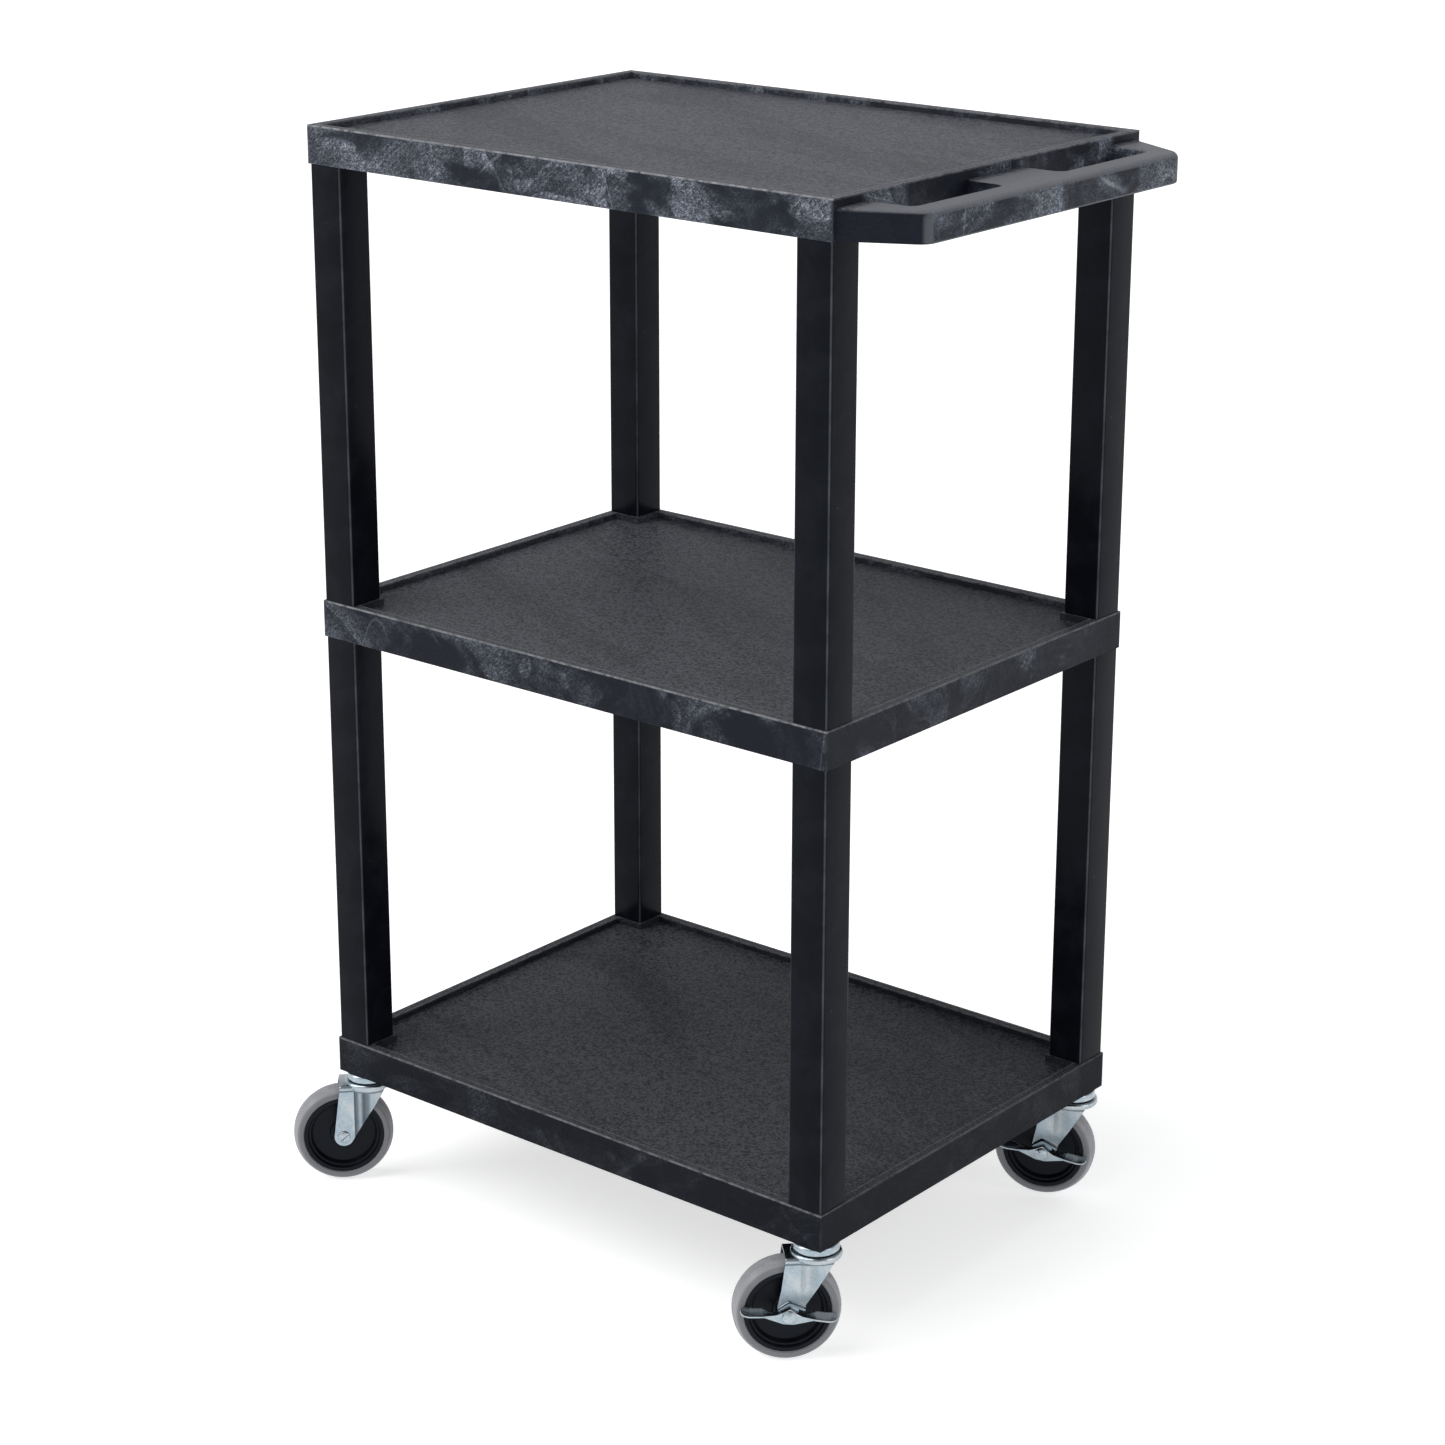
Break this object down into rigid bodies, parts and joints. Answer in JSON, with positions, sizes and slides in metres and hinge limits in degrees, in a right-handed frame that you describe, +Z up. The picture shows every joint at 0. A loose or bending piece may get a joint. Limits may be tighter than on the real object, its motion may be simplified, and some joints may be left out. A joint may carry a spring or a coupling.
{
  "type": "rolling utility cart",
  "caption": "Rolling utility cart with lipped tray shelves on square legs, a push handle with hand slots, and swivel casters with brake pedals.",
  "frame": {"origin": "on the floor under the middle of the cart's whole outline, trailing casters and handle included", "axes": "+X towards the push handle, +Y to the back, +Z up from the floor"},
  "size_m": [0.7242, 0.5078, 1.0668],
  "materials": {
    "charcoal_plastic": "matt moulded charcoal polyethylene with a fine grain and pale flow marks",
    "gloss_black_pvc": "glossy extruded black square tube",
    "zinc_steel": "bright bluish zinc plate on pressed steel",
    "black_nylon": "satin black moulded hub",
    "grey_rubber": "light grey non-marking tread"
  },
  "bodies": {
    "cart": {"top_shelf": "charcoal_plastic", "middle_shelf": "charcoal_plastic", "bottom_shelf": "charcoal_plastic", "upper_leg_front_left": "gloss_black_pvc", "upper_leg_front_right": "gloss_black_pvc", "upper_leg_rear_right": "gloss_black_pvc", "upper_leg_rear_left": "gloss_black_pvc", "lower_leg_front_left": "gloss_black_pvc", "lower_leg_front_right": "gloss_black_pvc", "lower_leg_rear_right": "gloss_black_pvc", "lower_leg_rear_left": "gloss_black_pvc", "stem_socket_front_left": "zinc_steel", "caster_stem_front_left": "zinc_steel", "grip_ring_front_left": "zinc_steel", "stem_socket_front_right": "zinc_steel", "caster_stem_front_right": "zinc_steel", "grip_ring_front_right": "zinc_steel", "stem_socket_rear_right": "zinc_steel", "caster_stem_rear_right": "zinc_steel", "grip_ring_rear_right": "zinc_steel", "stem_socket_rear_left": "zinc_steel", "caster_stem_rear_left": "zinc_steel", "grip_ring_rear_left": "zinc_steel"},
    "swivel_front_left": {"fork_front_left": "zinc_steel", "ball_race_front_left": "zinc_steel", "axle_bolt_front_left": "zinc_steel", "axle_nut_front_left": "zinc_steel", "wheel_bushing_front_left": "zinc_steel"},
    "wheel_front_left": {"wheel_hub_front_left": "black_nylon", "tyre_front_left": "grey_rubber"},
    "swivel_front_right": {"fork_front_right": "zinc_steel", "ball_race_front_right": "zinc_steel", "axle_bolt_front_right": "zinc_steel", "axle_nut_front_right": "zinc_steel", "wheel_bushing_front_right": "zinc_steel"},
    "wheel_front_right": {"wheel_hub_front_right": "black_nylon", "tyre_front_right": "grey_rubber"},
    "pedal_front_right": {"brake_pedal_front_right": "zinc_steel"},
    "swivel_rear_right": {"fork_rear_right": "zinc_steel", "ball_race_rear_right": "zinc_steel", "axle_bolt_rear_right": "zinc_steel", "axle_nut_rear_right": "zinc_steel", "wheel_bushing_rear_right": "zinc_steel"},
    "wheel_rear_right": {"wheel_hub_rear_right": "black_nylon", "tyre_rear_right": "grey_rubber"},
    "pedal_rear_right": {"brake_pedal_rear_right": "zinc_steel"},
    "swivel_rear_left": {"fork_rear_left": "zinc_steel", "ball_race_rear_left": "zinc_steel", "axle_bolt_rear_left": "zinc_steel", "axle_nut_rear_left": "zinc_steel", "wheel_bushing_rear_left": "zinc_steel"},
    "wheel_rear_left": {"wheel_hub_rear_left": "black_nylon", "tyre_rear_left": "grey_rubber"}
  },
  "joints": [
    {"name": "swivel_front_left", "type": "hinge", "parent": "cart", "child": "swivel_front_left", "pos_m": [-0.2978, -0.1876, 0.1051], "axis": [0, 0, 1], "continuous": true},
    {"name": "roll_front_left", "type": "hinge", "parent": "swivel_front_left", "child": "wheel_front_left", "pos_m": [-0.31601, -0.20713, 0.05], "axis": [0.7314, -0.682, 0], "continuous": true},
    {"name": "swivel_front_right", "type": "hinge", "parent": "cart", "child": "swivel_front_right", "pos_m": [0.2718, -0.1876, 0.1051], "axis": [0, 0, 1], "continuous": true},
    {"name": "roll_front_right", "type": "hinge", "parent": "swivel_front_right", "child": "wheel_front_right", "pos_m": [0.25292, -0.20648, 0.05], "axis": [0.7071, -0.7071, 0], "continuous": true},
    {"name": "brake_front_right", "type": "hinge", "parent": "swivel_front_right", "child": "pedal_front_right", "pos_m": [0.25292, -0.20648, 0.05], "axis": [0.7071, -0.7071, 0], "range_deg": [0, 13]},
    {"name": "swivel_rear_right", "type": "hinge", "parent": "cart", "child": "swivel_rear_right", "pos_m": [0.2718, 0.2296, 0.1051], "axis": [0, 0, 1], "continuous": true},
    {"name": "roll_rear_right", "type": "hinge", "parent": "swivel_rear_right", "child": "wheel_rear_right", "pos_m": [0.2475, 0.21853, 0.05], "axis": [0.4147, -0.91, 0], "continuous": true},
    {"name": "brake_rear_right", "type": "hinge", "parent": "swivel_rear_right", "child": "pedal_rear_right", "pos_m": [0.2475, 0.21853, 0.05], "axis": [0.4147, -0.91, 0], "range_deg": [0, 13]},
    {"name": "swivel_rear_left", "type": "hinge", "parent": "cart", "child": "swivel_rear_left", "pos_m": [-0.2978, 0.2296, 0.1051], "axis": [0, 0, 1], "continuous": true},
    {"name": "roll_rear_left", "type": "hinge", "parent": "swivel_rear_left", "child": "wheel_rear_left", "pos_m": [-0.31884, 0.21316, 0.05], "axis": [0.6157, -0.788, 0], "continuous": true}
  ]
}
